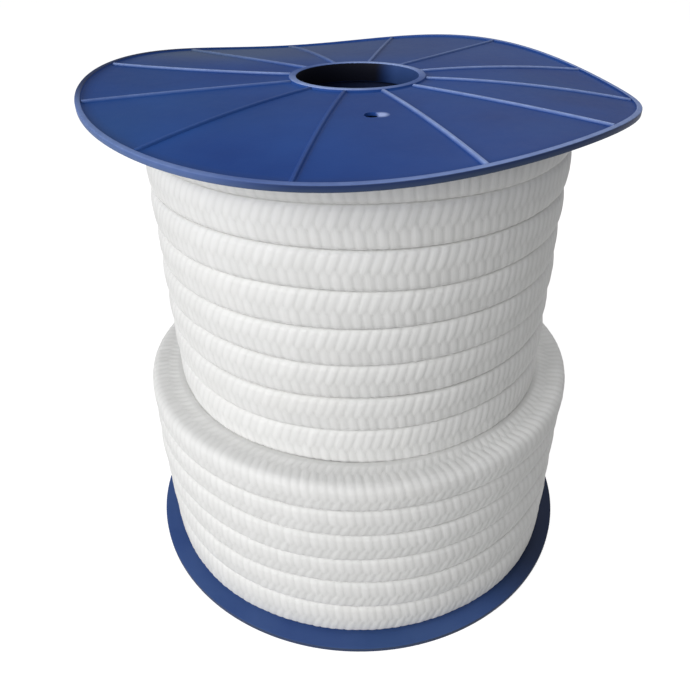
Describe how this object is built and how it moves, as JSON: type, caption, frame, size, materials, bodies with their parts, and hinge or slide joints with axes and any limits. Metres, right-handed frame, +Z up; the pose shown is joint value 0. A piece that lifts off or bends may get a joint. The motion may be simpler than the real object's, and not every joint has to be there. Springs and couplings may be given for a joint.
{
  "type": "gland packing spool",
  "caption": "Flanged plastic spool wound with square braided gland packing rope, with a plain bore for a spindle and ribbed flanges.",
  "frame": {"origin": "on the spool's axis, in the plane that the lower flange stands on", "axes": "+Z up along the bore's axis to the upper flange, -Y towards the front"},
  "size_m": [0.235, 0.235, 0.2427],
  "materials": {
    "blue_plastic": "moulded, satin, slightly uneven",
    "white_braid": "square braided rope, smooth and slightly waxy"
  },
  "bodies": {
    "root": {"upper_flange": "blue_plastic", "lower_flange": "blue_plastic", "barrel": "blue_plastic", "packing_winding": "white_braid"}
  },
  "joints": []
}
